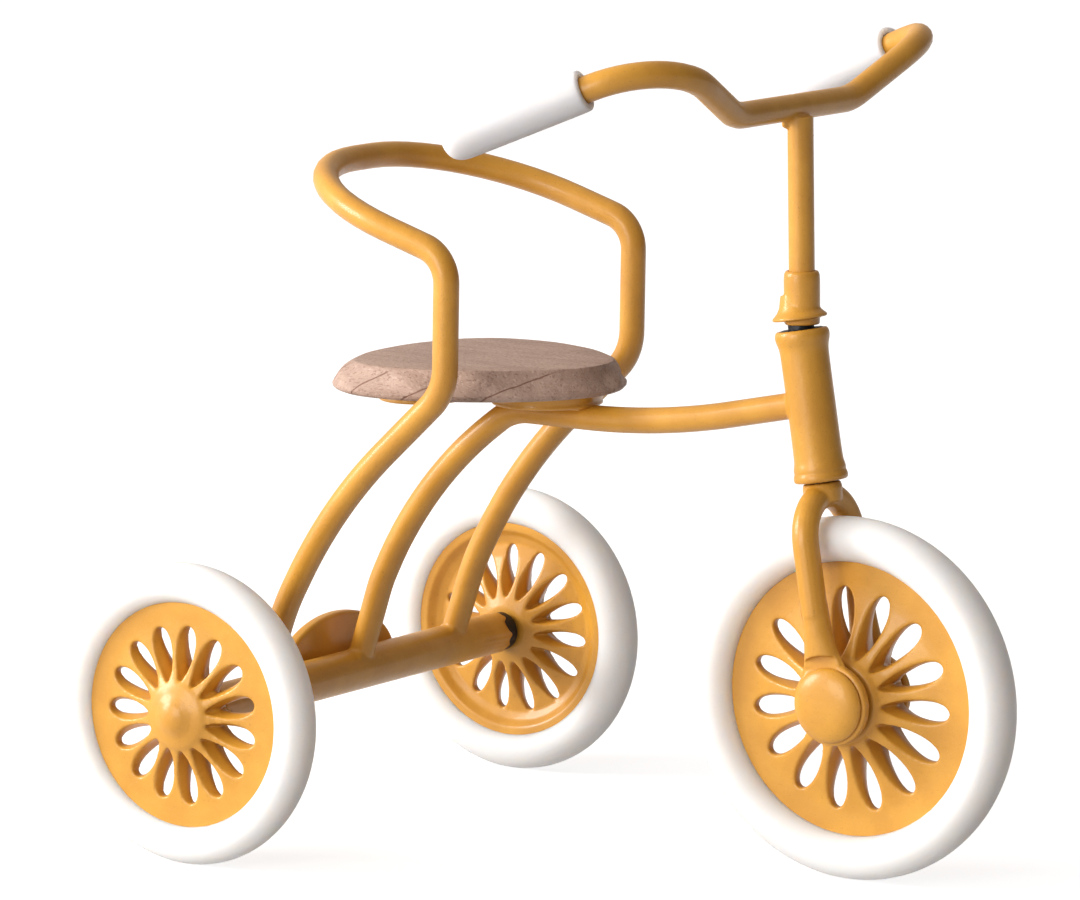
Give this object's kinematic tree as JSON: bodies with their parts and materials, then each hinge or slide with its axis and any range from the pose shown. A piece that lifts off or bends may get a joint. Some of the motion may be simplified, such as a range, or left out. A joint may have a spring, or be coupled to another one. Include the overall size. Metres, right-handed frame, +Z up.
{
  "type": "miniature tricycle",
  "caption": "Doll-size tricycle with a bent wire frame and arm rail, wooden saddle, swept handlebar and three slotted wheels with soft tyres.",
  "frame": {"origin": "on the ground below the middle of the outer box", "axes": "+X forward, +Y to the rider's left, +Z up"},
  "size_m": [0.108, 0.0784, 0.0957],
  "materials": {
    "paint": "satin",
    "beech": "matte",
    "tyre": "matte",
    "grip": "matte",
    "steel": "satin"
  },
  "bodies": {
    "frame": {"main_tube": "paint", "head_tube": "paint", "axle_tube": "paint", "arm_rail": "paint", "rear_plate": "paint", "seat_plate": "paint", "seat_board": "beech", "seat_screws": "steel"},
    "rear_wheels": {"rear_axle": "steel", "rear_disc_right": "paint", "rear_disc_left": "paint", "rear_tyre_right": "tyre", "rear_tyre_left": "tyre", "hub_cap_right": "paint", "hub_cap_left": "paint"},
    "steering": {"fork": "paint", "front_axle_pin": "steel", "axle_cap_right": "paint", "axle_cap_left": "paint", "steerer_rod": "steel", "stem_collar": "paint", "stem_tube": "paint", "handlebar": "paint", "grip_right": "grip", "grip_left": "grip"},
    "front_wheel": {"front_disc": "paint", "front_tyre": "tyre"}
  },
  "joints": [
    {"name": "steering_turn", "type": "hinge", "parent": "frame", "child": "steering", "pos_m": [0.03265, 0, 0.021], "axis": [-0.1547, 0, 0.988], "continuous": true},
    {"name": "front_wheel_spin", "type": "hinge", "parent": "steering", "child": "front_wheel", "pos_m": [0.033, 0, 0.021], "axis": [0, 1, 0], "continuous": true},
    {"name": "rear_wheels_spin", "type": "hinge", "parent": "frame", "child": "rear_wheels", "pos_m": [-0.0363, 0, 0.0177], "axis": [0, 1, 0], "continuous": true}
  ]
}
